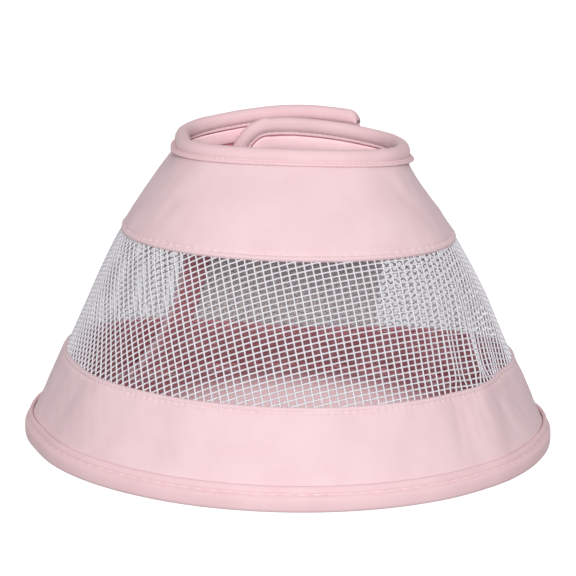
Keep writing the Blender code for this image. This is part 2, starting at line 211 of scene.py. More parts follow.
# %% [markdown]
# A cone's cloth is cut flat as part of a ring and then closed round. The net and the
# twill were woven straight, so their threads turn slowly as they go round the cone. To
# show that, each place on the wall also gets a place in the flat cut. The patterns are
# drawn there, in metres, and the UV maps hold it.

# %% Places in the flat cut
TAPER = 0.45  # turn in the flat cut for one turn of the cone
round_angles = np.linspace(-235, 240, 1500)
middle_line = wall_middle(round_angles, 1.5)
round_run = np.concatenate(([0.0], np.cumsum(np.linalg.norm(np.diff(middle_line, axis=0), axis=1))))
round_run -= np.interp(0.0, round_angles, round_run)
levels_up = np.linspace(-0.2, 4.2, 500)
front_line = wall_middle(0.0, levels_up)
slant_run = np.concatenate(([0.0], np.cumsum(np.linalg.norm(np.diff(front_line, axis=0), axis=1))))
slant_run -= np.interp(1.5, levels_up, slant_run)
MIDDLE_RADIUS = float(np.interp(0.0, round_angles, np.linalg.norm(middle_line[:, :2], axis=1)))


def flat_place(angle, level):
    """Where a place on the wall was in the flat cut, in metres."""
    turn = TAPER * np.interp(angle, round_angles, round_run) / MIDDLE_RADIUS
    reach = MIDDLE_RADIUS / TAPER - np.interp(level, levels_up, slant_run)
    return np.stack((reach * np.sin(turn), -reach * np.cos(turn)), -1)


def from_flat(places):
    """The angle and level of a place in the flat cut."""
    turn = np.arctan2(places[..., 0], -places[..., 1])
    reach = np.hypot(places[..., 0], places[..., 1])
    level = np.interp(MIDDLE_RADIUS / TAPER - reach, slant_run, levels_up)
    return np.interp(turn * MIDDLE_RADIUS / TAPER, round_run, round_angles), level


print("The window's strip is", round((round_run[-1] - round_run[0]) / MM), "mm long")

# %% [markdown]
# The photograph shows the collar alone on pure white, from a little above, without a
# shadow. The same look comes from a white table that glows softly, a pale world round it,
# and one broad light near the camera. The light is what makes the front bright and the
# sides fall off to a greyer pink.

# %% Colours from hex
def linear(code):
    """An sRGB hex colour as the linear colour that shaders take."""
    channels = [int(code[at : at + 2], 16) / 255 for at in (1, 3, 5)]
    return tuple(c / 12.92 if c <= 0.04045 else ((c + 0.055) / 1.055) ** 2.4 for c in channels) + (1.0,)


def add_node(tree, kind, settings=None, **links):
    """Adds a node, sets its values and links other nodes' outputs to its inputs. An input
    goes by its name or, where names repeat, by its number, as i0 or i1."""
    made = tree.nodes.new(kind)

    def socket(name):
        return made.inputs[int(name[1:]) if name[1:].isdigit() else name.replace("_", " ")]

    for name, value in (settings or {}).items():
        if name in made.inputs or name[1:].isdigit():
            socket(name).default_value = value
        else:
            setattr(made, name, value)
    for name, source in links.items():
        tree.links.new(source, socket(name))
    return made


def new_material(name):
    """A node material with a bare shader."""
    made = bpy.data.materials.new(name)
    made.use_nodes = True
    made.node_tree.nodes.clear()
    return made, made.node_tree


def finish_with(tree, settings, **links):
    """The material's one shader, joined to its output."""
    shader = add_node(tree, "ShaderNodeBsdfPrincipled", settings, **links)
    tree.links.new(shader.outputs[0], add_node(tree, "ShaderNodeOutputMaterial").inputs["Surface"])


def two_tones(tree, factor, deep, pale, low=0.0, high=1.0):
    """A blend from a deep tone to a pale one."""
    ramp = add_node(tree, "ShaderNodeValToRGB", {}, Fac=factor)
    for stop, position, code in zip(ramp.color_ramp.elements, (low, high), (deep, pale)):
        stop.position, stop.color = position, linear(code)
    return ramp.outputs[0]


def into_scene(name, shape, material):
    """An object made of a bmesh shape, which is used up."""
    mesh = bpy.data.meshes.new(name)
    shape.to_mesh(mesh)
    shape.free()
    mesh.materials.append(material)
    made = bpy.data.objects.new(name, mesh)
    scene.collection.objects.link(made)
    return made


# %% Table, world and lights
scene = bpy.context.scene
scene.view_settings.view_transform = "Standard"


def soft_patch(tree, centre, half_size, inner, squarings, widening=0.0):
    """1 in a soft patch of the table: an oval for one squaring, nearly a rectangle for two.
    Widening makes its far side wider than its near side."""
    table_place = add_node(tree, "ShaderNodeTexCoord")
    settings = {"vector_type": "TEXTURE", "Location": (*centre, 0), "Scale": (*half_size, 1)}
    power = add_node(tree, "ShaderNodeMapping", settings, Vector=table_place.outputs["Object"])
    parts = add_node(tree, "ShaderNodeSeparateXYZ", {}, Vector=power.outputs[0])
    settings = {"operation": "MULTIPLY_ADD", "i1": widening, "i2": 1.0}
    wider = add_node(tree, "ShaderNodeMath", settings, i0=parts.outputs["Y"])
    operands = {"i0": power.outputs[0], "i1": wider.outputs[0]}
    power = add_node(tree, "ShaderNodeVectorMath", {"operation": "DIVIDE"}, **operands)
    for _ in range(squarings):
        operands = {"i0": power.outputs[0], "i1": power.outputs[0]}
        power = add_node(tree, "ShaderNodeVectorMath", {"operation": "MULTIPLY"}, **operands)
    settings = {"operation": "DOT_PRODUCT", "i1": (1, 1, 0)}
    reach = add_node(tree, "ShaderNodeVectorMath", settings, i0=power.outputs[0])
    settings = {"interpolation_type": "SMOOTHSTEP", "From Min": inner ** (2 * squarings), "From Max": 1.0}
    settings |= {"To Min": 1.0, "To Max": 0.0}
    return add_node(tree, "ShaderNodeMapRange", settings, Value=reach.outputs["Value"]).outputs[0]


def glowing(name, base, around, within, patch):
    """A matt surface that glows in one colour around a soft patch and in another within it."""
    made, tree = new_material(name)
    settings = {"data_type": "RGBA", "i6": (*around, 1), "i7": (*within, 1)}
    glow = add_node(tree, "ShaderNodeMix", settings, i0=soft_patch(tree, *patch))
    settings = {"Roughness": 0.6, "Base Color": (*base, 1), "Emission Strength": 1.0}
    finish_with(tree, settings, Emission_Color=glow.outputs[2])
    return made


def lay_on_table(name, shape, material):
    """A flat stage piece. Its glow is for the eye alone and lights nothing."""
    made = into_scene(name, shape, material)
    made.visible_diffuse = False


# White acrylic, moulded smooth and lit from below: an even white glow, but for a painted shadow, a soft grey patch in
# the glow behind the collar.
acrylic = glowing(
    # the grey glow within the patch is the painted shadow
    "white_glowing_acrylic_painted_shadow", (0.3, 0.3, 0.3), (1.0, 1.0, 1.0), (0.47, 0.47, 0.48),
    ((0.0, 0.29), (0.1005, 0.23), 0.93, 2, 0.097),
)
table_shape = bmesh.new()
bmesh.ops.create_grid(table_shape, x_segments=2, y_segments=2, size=12.0)
bmesh.ops.translate(table_shape, verts=table_shape.verts, vec=(0, 0, -0.0002))
lay_on_table("table", table_shape, acrylic)

# Under the cone the table glows in painted pink light and shade, as if only pink light reached it: a painted pool of
# light in the middle, painted shade dark near the rim.
painted_pink_glow = glowing(
    "table_under_cone_painted_glow_and_shade", (0.25, 0.15, 0.16), (0.12, 0.04, 0.05), (0.62, 0.445, 0.465),
    ((0.006, 0.024), (0.064, 0.058), 0.1, 1),
)
foot_angles = np.linspace(-180, 180, 241)[:-1]
_, foot_levels = moved(foot_angles, 0.0, 0.0, EDGE_INSET)
under_cone = bmesh.new()
bmesh.ops.create_circle(under_cone, cap_ends=True, segments=240, radius=1.0)
for vertex, where in zip(under_cone.verts, place(foot_angles, foot_levels).tolist()):
    vertex.co = (where[0], where[1], -0.0001)
bmesh.ops.recalc_face_normals(under_cone, faces=under_cone.faces)
if next(iter(under_cone.faces)).normal.z < 0:
    bmesh.ops.reverse_faces(under_cone, faces=under_cone.faces)
lay_on_table("table_under_the_cone", under_cone, painted_pink_glow)

# A pale room: brighter overhead than below, where a real table would keep light out.
world = bpy.data.worlds.new("studio")
scene.world = world
world.use_nodes = True
sky = world.node_tree
direction = add_node(sky, "ShaderNodeTexCoord")
upwards = add_node(sky, "ShaderNodeSeparateXYZ", {}, Vector=direction.outputs["Generated"])
settings = {"From Min": -0.35, "From Max": 0.12, "To Min": 0.17, "To Max": 0.49}
strength = add_node(sky, "ShaderNodeMapRange", settings, Value=upwards.outputs["Z"])
sky.nodes["Background"].inputs["Color"].default_value = linear("#FFFFFF")
sky.links.new(strength.outputs[0], sky.nodes["Background"].inputs["Strength"])


def area_light(name, size, power, at, towards):
    """A soft square light that shines from one point towards another."""
    light = bpy.data.lights.new(name, "AREA")
    light.size, light.energy = size, power
    made = bpy.data.objects.new(name, light)
    made.location = at
    made.rotation_euler = (Vector(towards) - Vector(at)).to_track_quat("-Z", "Y").to_euler()
    scene.collection.objects.link(made)
    return made


area_light("front_softbox", 0.4, 18.6, (0.0, -1.45, 0.5), (0, 0, 0.05))

# %% Camera
CAMERA_REACH, CAMERA_TILT, CAMERA_ROLL = 0.57, math.radians(12.0), math.radians(1.05)
AIM = Vector((-0.0009, 0.0, 0.05092))
lens = bpy.data.cameras.new("camera")
lens.sensor_width, lens.lens = 36.0, 99.0
camera = bpy.data.objects.new("camera", lens)
scene.collection.objects.link(camera)
camera_at = AIM + CAMERA_REACH * Vector((0, -math.cos(CAMERA_TILT), math.sin(CAMERA_TILT)))
camera.matrix_world = (
    Matrix.Translation(camera_at + Vector(SHIFT))
    @ Matrix.Rotation(math.pi / 2 - CAMERA_TILT, 4, "X")
    @ Matrix.Rotation(CAMERA_ROLL, 4, "Z")
)
scene.camera = camera
print("Camera at, mm:", [round(value / MM) for value in camera.matrix_world.translation])

# %% [markdown]
# The cloth is cotton twill: threads that cross over two and under two, which leaves fine
# slanting ribs. From this distance the ribs only show here and there, as a faint slant,
# and the cloth reads as matt with a soft bloom at its edges. So the ribs are drawn on the
# flat cut, weak and in patches, with a little sheen for the loose fibres.

# %% Pink cotton twill
RIB_PITCH = 0.75 * MM  # the real ribs are near 0.5 mm, drawn wider so that they show


def cotton(name, pale, deep, pitch, strength, roughness, sheen):
    """A matt woven cotton whose ribs lie on the flat cut."""
    made, tree = new_material(name)
    cut = add_node(tree, "ShaderNodeUVMap", {"uv_map": "flat_cut"})
    turned = add_node(tree, "ShaderNodeMapping", {"Rotation": (0, 0, math.radians(28))}, Vector=cut.outputs[0])
    ribs = add_node(
        tree, "ShaderNodeTexWave",
        {"Scale": 0.314 / pitch, "Distortion": 1.2, "Detail": 2.0, "Detail Scale": 1.5},
        Vector=turned.outputs[0],
    )
    cloudy = add_node(tree, "ShaderNodeTexNoise", {"Scale": 1 / (14 * MM), "Detail": 3.0}, Vector=cut.outputs[0])
    patches = add_node(
        tree, "ShaderNodeMapRange",
        {"From Min": 0.42, "From Max": 0.68, "To Min": 0.15, "To Max": 1.0},
        Value=cloudy.outputs["Fac"],
    )
    operands = {"i0": ribs.outputs["Fac"], "i1": patches.outputs[0]}
    shown = add_node(tree, "ShaderNodeMath", {"operation": "MULTIPLY"}, **operands)
    fibres = add_node(tree, "ShaderNodeTexNoise", {"Scale": 1 / (0.5 * MM), "Detail": 2.0}, Vector=cut.outputs[0])
    operands = {"i0": shown.outputs[0], "i2": cloudy.outputs["Fac"]}
    tone = add_node(tree, "ShaderNodeMath", {"operation": "MULTIPLY_ADD", "i1": 0.35}, **operands)
    operands = {"i0": fibres.outputs["Fac"], "i2": shown.outputs[0]}
    height = add_node(tree, "ShaderNodeMath", {"operation": "MULTIPLY_ADD", "i1": 0.6}, **operands)
    weave = add_node(tree, "ShaderNodeBump", {"Strength": strength, "Distance": 0.1 * MM}, Height=height.outputs[0])
    settings = {"Roughness": roughness, "IOR": 1.47, "Specular IOR Level": 0.25}
    settings |= {"Sheen Weight": sheen, "Sheen Roughness": 0.5}
    colour = two_tones(tree, tone.outputs[0], deep, pale, 0.25, 0.85)
    finish_with(tree, settings, Base_Color=colour, Normal=weave.outputs[0])
    return made


# Woven twill: faint slanting ribs and a matt pink that turns greyer at a glance.
twill = cotton("pink_cotton_twill", "#E2C6CA", "#DDBFC4", RIB_PITCH, 0.35, 0.88, 0.12)
# Bias tape: a closer plain weave, a touch smoother and deeper where it rolls.
bias_tape = cotton("pink_cotton_bias_tape", "#E3C2C6", "#DEBBC0", 0.45 * MM, 0.25, 0.8, 0.12)
# Lining tape inside the neck: the same cotton in a paler dye, made paler still as painted light for light that barely
# reaches the neck's inside.
pale_lining_painted_light = cotton("pale_cotton_lining_tape_painted_light", "#FFDBDF", "#FBD4D9", 0.45 * MM, 0.25, 0.85, 0.1)
# Inner faces: painted shade. What reaches them has come through pink cloth, which makes them look darker and redder,
# in patches. A deeper pink on the inner faces paints that in.
inner_painted_shade = cotton("pink_cotton_inside_painted_shade", "#DA969F", "#B36672", RIB_PITCH, 0.3, 0.9, 0.05)
# Sewing thread: spun polyester, a little paler and brighter than the cloth round it.
thread = cotton("pink_polyester_thread", "#EBD1D5", "#E6C9CE", 0.3 * MM, 0.2, 0.55, 0.1)
print("Cottons:", [made.name for made in (twill, bias_tape, pale_lining_painted_light, thread)])

# %% [markdown]
# A band, a tape or a patch is a strip with a thickness. Each starts as one flat grid. Its
# columns go along the strip and its rows go round the strip's cross-section, from one
# edge over the outside and back along the inside. The first and last row are then merged
# like a seam and the two ends are closed. This gives a rounded fold at each edge, which
# thickening a single sheet would not.

# %% Turn a grid into a closed strip
MERGE = 0.002 * MM


def closed_strip(name, places, cuts, material):
    """A grid laid on places, row by row, its long edges sewn together and its ends closed."""
    places = np.concatenate((places, places[:1]))
    cuts = np.concatenate((cuts, cuts[-1:]))
    rows, columns = places.shape[:2]
    strip = bmesh.new()
    bmesh.ops.create_grid(strip, x_segments=columns - 1, y_segments=rows - 1, size=1.0)
    flat_cut = strip.loops.layers.uv.new("flat_cut")
    cuts = cuts.reshape(-1, 2).tolist()
    for vertex, where in zip(strip.verts, places.reshape(-1, 3).tolist()):
        vertex.co = where
    strip.verts.index_update()
    for face in strip.faces:
        face.smooth = True
        for corner in face.loops:
            corner[flat_cut].uv = cuts[corner.vert.index]
    bmesh.ops.remove_doubles(strip, verts=[v for v in strip.verts if v.is_boundary], dist=MERGE)
    bmesh.ops.holes_fill(strip, edges=[e for e in strip.edges if e.is_boundary], sides=0)
    bmesh.ops.recalc_face_normals(strip, faces=strip.faces)
    return into_scene(name, strip, material)


def paint_inside_shade(made, inner_rows, columns):
    """Gives the faces between a strip's inner rows the deeper pink of the painted shade inside."""
    made.data.materials.append(inner_painted_shade)
    inner = np.zeros(len(made.data.vertices), bool)
    inner[: inner_rows.size * columns] = np.repeat(inner_rows, columns)
    for face in made.data.polygons:
        face.material_index = int(inner[list(face.vertices)].all())


def rounded(controls, parts):
    """Closed smooth curves through control points, with some parts to each span."""
    controls = np.asarray(controls, float)
    before, after, later = (np.roll(controls, shift, axis=0) for shift in (1, -1, -2))
    points = []
    for part in range(parts):
        t = part / parts
        points.append(
            0.5 * (2 * controls + (after - before) * t
                   + (2 * before - 5 * controls + 4 * after - later) * t**2
                   + (3 * controls - before - 3 * after + later) * t**3)
        )
    return np.stack(points, 1).reshape(-1, *controls.shape[1:])


def run_along(points):
    """How far along a line each of its points lies."""
    return np.concatenate(([0.0], np.cumsum(np.linalg.norm(np.diff(points, axis=0), axis=1))))


def strip_cut(run, width, rows):
    """The flat cut of a strip of this width, for the rows of its grid."""
    return np.stack(np.broadcast_arrays(run, np.linspace(0, width, rows)[:, None]), -1)


def needle_pull(run, pitch):
    """1 at each needle hole of a seam and 0 midway along each stitch."""
    return 0.5 + 0.5 * np.cos(2 * math.pi * run / pitch)


def waves(along, across, size, seed):
    """Smooth hills and hollows of about this size, from -1 to 1, the same on every run."""
    dice = np.random.default_rng(seed)
    total = 0.0
    for _ in range(9):
        way, length = dice.uniform(0, math.pi), size * dice.uniform(0.7, 1.9)
        phase = dice.uniform(0, 2 * math.pi)
        total = total + np.sin(2 * math.pi * (along * math.cos(way) + across * math.sin(way)) / length + phase)
    return total / 4.5


# %% Ends of the strip
def inner_end(level):
    return between_levels(INNER_END, level)


def outer_end(level):
    return -between_levels(OUTER_END, level)


def rim_inset(angle):
    """How far up the wall the lower band starts, clear of the hem tape's fold."""
    lean = np.arctan(wall_lean(angle, 0.05))
    return (TAPE_WALL + 0.4 * MM + FOLD_RADIUS * np.sin(lean)) / np.cos(lean)


end_levels = np.linspace(-0.1, 4.05, 84)
first_angles, _ = moved(outer_end(end_levels), end_levels, EDGE_INSET, 0.0)
last_angles, _ = moved(inner_end(end_levels), end_levels, -EDGE_INSET, 0.0)


def strip_angle(share, level):
    """Angle at a share of the way round, from the outer flap's end to the inner one's."""
    first = np.interp(level, end_levels, first_angles)
    return first + (np.interp(level, end_levels, last_angles) - first) * share


rim_ends = [round(float(strip_angle(share, 0.0))) for share in (0.0, 1.0)]
print("The strip's ends at the rim, degrees:", rim_ends)

# %% [markdown]
# The two bands are folded cloth, about 2 mm thick, with the net sewn in between their two
# layers. A row of stitches runs 2 mm from the window's edge. It pulls the layers together
# into a shallow groove, puckers the cloth a little at each stitch, and leaves a soft
# ridge along the edge. Handling left slow dents and a few slanting creases.

# %% Rows of a band
TOPSTITCH_PITCH, TOPSTITCH_INSET = 2.6 * MM, 2.0 * MM


def band_rows(height):
    """Distances from the window's edge and sides of the band, round its cross-section."""
    near = np.array((0.3, 0.8, 1.3, 1.7, 2.0, 2.3, 2.8, 3.6, 4.8)) * MM
    far = 6.2 * MM + (height - 6.2 * MM) * np.linspace(0, 1, 13)[:, None]
    outside = np.concatenate((near[:, None] * np.ones_like(height), far))[::-1]
    inside = np.concatenate((near[:, None] * np.ones_like(height), far[::2]))
    edge = np.zeros((2, height.size))
    sides = np.concatenate((np.ones(len(outside)), (0.45, -0.45), -np.ones(len(inside))))
    return np.concatenate((outside, edge, inside)), sides


def creased(angle, level, creases):
    """How far creases press the cloth in. Each runs from one place to another."""
    depth = 0.0
    for start_angle, start_level, end_angle, end_level, width, deep in creases:
        way = np.array((end_angle - start_angle, (end_level - start_level) * 25))
        length = np.hypot(*way)
        along = ((angle - start_angle) * way[0] + (level - start_level) * 25 * way[1]) / length
        across = ((angle - start_angle) * way[1] - (level - start_level) * 25 * way[0]) / length
        past = np.maximum(np.maximum(-along, along - length), 0)
        depth = depth + deep * MM * np.exp(-((across / width) ** 2) - (past / 3) ** 2)
    return depth


def make_band(name, edge_level, far_levels, columns, seed, creases):
    """A band between the window's edge and a far edge, with its topstitched fold."""
    share = np.linspace(0, 1, columns)
    angle = strip_angle(share, edge_level)
    up = 1 if edge_level > 1.5 else -1
    _, edge = moved(angle, edge_level, 0.0, up * 0.25 * MM)
    far = far_levels(strip_angle(share, 0.0 if up < 0 else 4.0))
    table = edge + (far - edge) * np.linspace(0, 1, 60)[:, None]
    climb = wall_middle(strip_angle(share, table), table)
    run = np.concatenate((np.zeros((1, columns)), np.cumsum(np.linalg.norm(np.diff(climb, axis=0), axis=-1), 0)))
    width, side = band_rows(run[-1])
    level = np.stack([np.interp(width[:, c], run[:, c], table[:, c]) for c in range(columns)], 1)
    angle = strip_angle(share, level)
    along = run_along(place(angle[4], level[4]))  # measured near the far edge
    # The seam is a groove with a ridge on each side. Puckers follow it, spaced as at the far
    # edge, so they don't fall on the same places as the stitches.
    groove = bump(width, TOPSTITCH_INSET, 0.5 * MM)
    ridge = bump(width, 0.95 * MM, 0.55 * MM) + 0.6 * bump(width, 3.2 * MM, 0.9 * MM)
    pucker = 1 - needle_pull(along, TOPSTITCH_PITCH)
    half = (1.0 + 0.16 * ridge * (0.6 + 0.4 * pucker) - (0.50 - 0.26 * pucker) * groove) * MM
    half[width < 0.4 * MM] *= 0.88
    free = ease((run[-1] - width) / (9 * MM)) * ease(width / (3 * MM))
    sway = 0.30 * waves(along, width, 26 * MM, seed) + 0.10 * waves(along, width, 9 * MM, seed + 1)
    out = side[:, None] * half + (sway * MM - creased(angle, level, creases)) * free
    made = closed_strip(name, place(angle, level, out), flat_place(angle, level), twill)
    paint_inside_shade(made, side < 0, columns)
    print(name, len(made.data.polygons), "faces,", round(along[-1] / MM), "mm along its far edge")
    return made, (angle, level, out, width)


# %% Lower band
LOWER_CREASES = (
    # start angle and level, end angle and level, width in degrees, depth in mm
    (-10, 0.50, 1, 0.82, 1.6, 0.26), (9, 0.50, 15, 0.66, 1.4, 0.20), (-31, 0.42, -24, 0.62, 1.6, 0.22),
    (41, 0.93, 40, 0.55, 1.2, 0.20), (45.5, 0.95, 45, 0.62, 1.1, -0.15), (49, 0.93, 49, 0.58, 1.2, 0.18),
    (-58, 0.80, -64, 0.30, 2.6, 0.30), (57, 0.85, 60, 0.40, 2.0, 0.26),
)


def lower_far(angle):
    return moved(angle, 0.0, 0.0, rim_inset(angle))[1]


lower_band, lower_places = make_band("lower_band_twill", 1.0, lower_far, 1040, 11, LOWER_CREASES)


# %% Upper band
def corner_inset(share, edge, end_insets):
    """How far below the neck's edge a piece starts, with both flaps' round corners."""
    inset = edge * np.ones(share.size)
    for at, radius, start in end_insets:
        end, _ = moved(at, 4.0, start, 0.0)
        _, lowered = moved(end, 4.0, 0.0, -radius)
        degree = np.linalg.norm(wall_slopes(end, lowered)[0])
        radius = radius - edge
        past = np.clip(radius - np.abs(end - strip_angle(share, 4.0)) * degree, 0, radius)
        inset += radius - np.sqrt(radius**2 - past**2)
    return inset


def upper_far(angle):
    share = np.linspace(0, 1, angle.size)
    corners = ((inner_end(4.0), INNER_CORNER, -EDGE_INSET), (outer_end(4.0), OUTER_CORNER, EDGE_INSET))
    inset = corner_inset(share, EDGE_INSET, corners)
    return moved(angle, 4.0, 0.0, -inset)[1]


UPPER_CREASES = (
    (-52, 2.3, -40, 2.7, 2.4, 0.26), (58, 2.25, 48, 2.65, 2.6, 0.24), (22, 2.15, 27, 2.5, 2.0, 0.14),
    (-14, 2.1, -19, 2.45, 2.2, 0.12),
)
upper_band, upper_places = make_band("upper_band_twill", 2.0, upper_far, 620, 23, UPPER_CREASES)

# %% [markdown]
# The net is a coated polyester mesh: white threads fused where they cross, with openings
# like rounded bricks. It is seen close up and lets the whole inside show, so its threads
# are real geometry. A grid of cells is sheared to the net's slant in the flat cut, each
# cell is inset and opened, the holes' corners are bevelled, and the sheet is doubled into
# threads with a lens-shaped section. Last of all it is laid on the wall.

# %% Net cut flat
STEEP_PITCH, SHALLOW_PITCH = 2.65 * MM, 1.96 * MM
STEEP_LEAN, SHALLOW_LEAN = math.radians(11.7), math.radians(16.8)
THREAD_HALF, THREAD_RISE, CORNER_CUT = 0.285 * MM, 0.28 * MM, 0.24 * MM
NET_SHIFT = -0.055  # brings the grid from the flat cut's centre to the window's front

crossing = math.sin(math.radians(90) + STEEP_LEAN - SHALLOW_LEAN)
across_step = np.array((math.cos(SHALLOW_LEAN), math.sin(SHALLOW_LEAN))) * STEEP_PITCH / crossing
up_step = np.array((-math.sin(STEEP_LEAN), math.cos(STEEP_LEAN))) * SHALLOW_PITCH / crossing
shear = Matrix(
    ((across_step[0], up_step[0], 0, 0), (across_step[1], up_step[1], 0, NET_SHIFT), (0, 0, 1, 0), (0, 0, 0, 1))
)
reach_out = MIDDLE_RADIUS / TAPER + 0.03
cells = int(2.3 * reach_out / STEEP_PITCH), int(2.3 * reach_out / SHALLOW_PITCH)
net_cut = bmesh.new()
bmesh.ops.create_grid(net_cut, x_segments=cells[0], y_segments=cells[1], size=0.5)
bmesh.ops.scale(net_cut, verts=net_cut.verts, vec=(cells[0], cells[1], 1))
bmesh.ops.transform(net_cut, matrix=shear, verts=net_cut.verts)
centres = np.array([face.calc_center_median() for face in net_cut.faces])
cell_angle, cell_level = from_flat(centres[:, :2])
LAP, END_LAP = 0.075, 3.2  # how far the net goes into the bands, and stays clear of the ends
keep = (cell_level > 1 - LAP) & (cell_level < 2 + LAP)
keep &= (cell_angle > outer_end(cell_level) + END_LAP) & (cell_angle < inner_end(cell_level) - END_LAP)
outside = [face for face, kept in zip(net_cut.faces, keep) if not kept]
bmesh.ops.delete(net_cut, geom=outside, context="FACES")
print("Net cells:", len(net_cut.faces))

# %% Open the cells and give the threads a body
inset = bmesh.ops.inset_individual(net_cut, faces=net_cut.faces, thickness=THREAD_HALF, use_even_offset=True)
rims = set(inset["faces"])
openings = [face for face in net_cut.faces if face not in rims]
hole_corners = list({vertex for face in openings for vertex in face.verts})
bmesh.ops.delete(net_cut, geom=openings, context="FACES_ONLY")
bmesh.ops.bevel(
    net_cut, geom=hole_corners, offset=CORNER_CUT, offset_type="OFFSET", affect="VERTICES",
    segments=1, profile=0.5, material=-1,
)
print("Openings cut:", len(openings))
for vertex in net_cut.verts:
    vertex.co.z = 0.0 if vertex.is_boundary else THREAD_RISE
rear = bmesh.ops.duplicate(net_cut, geom=list(net_cut.verts) + list(net_cut.edges) + list(net_cut.faces))
rear_verts = [item for item in rear["geom"] if isinstance(item, bmesh.types.BMVert)]
bmesh.ops.scale(net_cut, verts=rear_verts, vec=(1, 1, -1))
bmesh.ops.reverse_faces(net_cut, faces=[item for item in rear["geom"] if isinstance(item, bmesh.types.BMFace)])
bmesh.ops.remove_doubles(net_cut, verts=net_cut.verts, dist=MERGE)

# %% Lay the net on the wall
# Slack gives it slow waves, and a few folds stand at the lower right where it bunches up.
cut = np.array([vertex.co for vertex in net_cut.verts])
cut_uv = cut[:, :2]
net_angle, net_level = from_flat(cut_uv)
along = np.interp(net_angle, round_angles, round_run)
across = -np.interp(net_level, levels_up, slant_run)
pinned = np.sin(math.pi * np.clip(net_level - 1, 0, 1)) ** 0.6
slack = 0.35 * waves(along, across, 30 * MM, 41) * pinned
loose = np.clip(2.0 - net_level, 0, 1) ** 1.3 * ease((net_level - 1) / 0.12)
FOLDS = ((43.0, 2.6, 1.25), (47.5, 2.4, -0.9), (53.0, 2.9, 1.35), (58.5, 2.8, -1.0), (65.0, 3.4, 0.7))
for at, wide, tall in FOLDS:
    slack = slack + tall * bump(net_angle, at + 3.0 * (net_level - 1), wide) * loose
net_places = place(net_angle, net_level, cut[:, 2] + slack * MM)
flat_cut = net_cut.loops.layers.uv.new("flat_cut")
net_cut.verts.index_update()
for vertex, where in zip(net_cut.verts, net_places.tolist()):
    vertex.co = where
for face in net_cut.faces:
    face.smooth = True
    for corner in face.loops:
        corner[flat_cut].uv = cut_uv[corner.vert.index]
bmesh.ops.recalc_face_normals(net_cut, faces=net_cut.faces)
print("The net has", len(net_cut.faces), "faces")

# %% Coated polyester net
# Polyester threads dipped in white vinyl: smooth, hardly glossy, a cool white all round.
coated, tree = new_material("white_coated_polyester_net")
cut_at = add_node(tree, "ShaderNodeUVMap", {"uv_map": "flat_cut"})
grime = add_node(tree, "ShaderNodeTexNoise", {"Scale": 1 / (6 * MM), "Detail": 2.0}, Vector=cut_at.outputs[0])
grain = add_node(tree, "ShaderNodeTexNoise", {"Scale": 1 / (0.4 * MM), "Detail": 1.0}, Vector=cut_at.outputs[0])
rough = add_node(tree, "ShaderNodeBump", {"Strength": 0.2, "Distance": 0.06 * MM}, Height=grain.outputs["Fac"])
white = two_tones(tree, grime.outputs["Fac"], "#D2CFD5", "#DFDDE2")
settings = {"Roughness": 0.7, "IOR": 1.53, "Specular IOR Level": 0.15}
finish_with(tree, settings, Base_Color=white, Normal=rough.outputs[0])
window_net = into_scene("window_net", net_cut, coated)

# %% [markdown]
# Tape is folded over the rim. One leg lies outside the lower band, one inside, and the
# fold under them is the foot the collar stands on. A seam of longer stitches holds both
# legs. Below it the tape is round and full. Above it the tape's edge is left free, so it
# lifts a little off the band, most at the two sides.

# %% Hem tape
HEM_STITCH_PITCH, HEM_STITCH = 4.75 * MM, 5.35 * MM
columns = 880
share = np.linspace(0, 1, columns)
hem_angle = outer_end(0.0) + (inner_end(0.0) - outer_end(0.0)) * share
hem_run = run_along(place(hem_angle, 0.1))
fold = rim_inset(hem_angle)
pull = needle_pull(hem_run, HEM_STITCH_PITCH)
lift = 0.55 * bump(hem_angle, -80, 16) + 0.5 * bump(hem_angle, 86, 15) + 0.12 * (1 + waves(hem_run, 0, 28 * MM, 5))
full = 0.10 * waves(hem_run, 0, 17 * MM, 6)
# Distance from the rim and from the wall in mm, and how much of the lift or pull it takes
OUTSIDE_LEG = (
    (8.02, 1.30, 0.9), (7.85, 1.72, 1.0), (7.1, 2.08, 0.7), (6.2, 2.10, 0.2), (5.75, 1.98, 0.0),
    (5.35, 1.66, -1.0), (4.95, 1.96, 0.0), (4.3, 2.30, 0.0), (3.6, 2.42, 0.0),
)
INSIDE_LEG = (
    (3.4, -2.40, 0.0), (4.3, -2.30, 0.0), (4.95, -1.95, 0.0), (5.35, -1.66, 1.0), (5.75, -1.95, 0.0),
    (6.6, -2.02, 0.0), (7.35, -1.75, 0.0), (7.48, -1.36, 0.0),
)
LINING = ((7.2, -1.16), (5.2, -1.15), (3.7, -1.15), (3.7, 1.15), (5.2, 1.15), (7.6, 1.15))
FOOT = ((1.75, 1.25), (1.45, 0.35), (0.9, 0.0), (-0.9, 0.0), (-1.45, 0.35), (-1.75, 1.25))
outwards = np.stack((np.sin(np.radians(hem_angle)), -np.cos(np.radians(hem_angle)), 0 * hem_angle), -1)


def on_hem(width, out):
    return place(*moved(hem_angle, 0.0, 0.0, width), out)


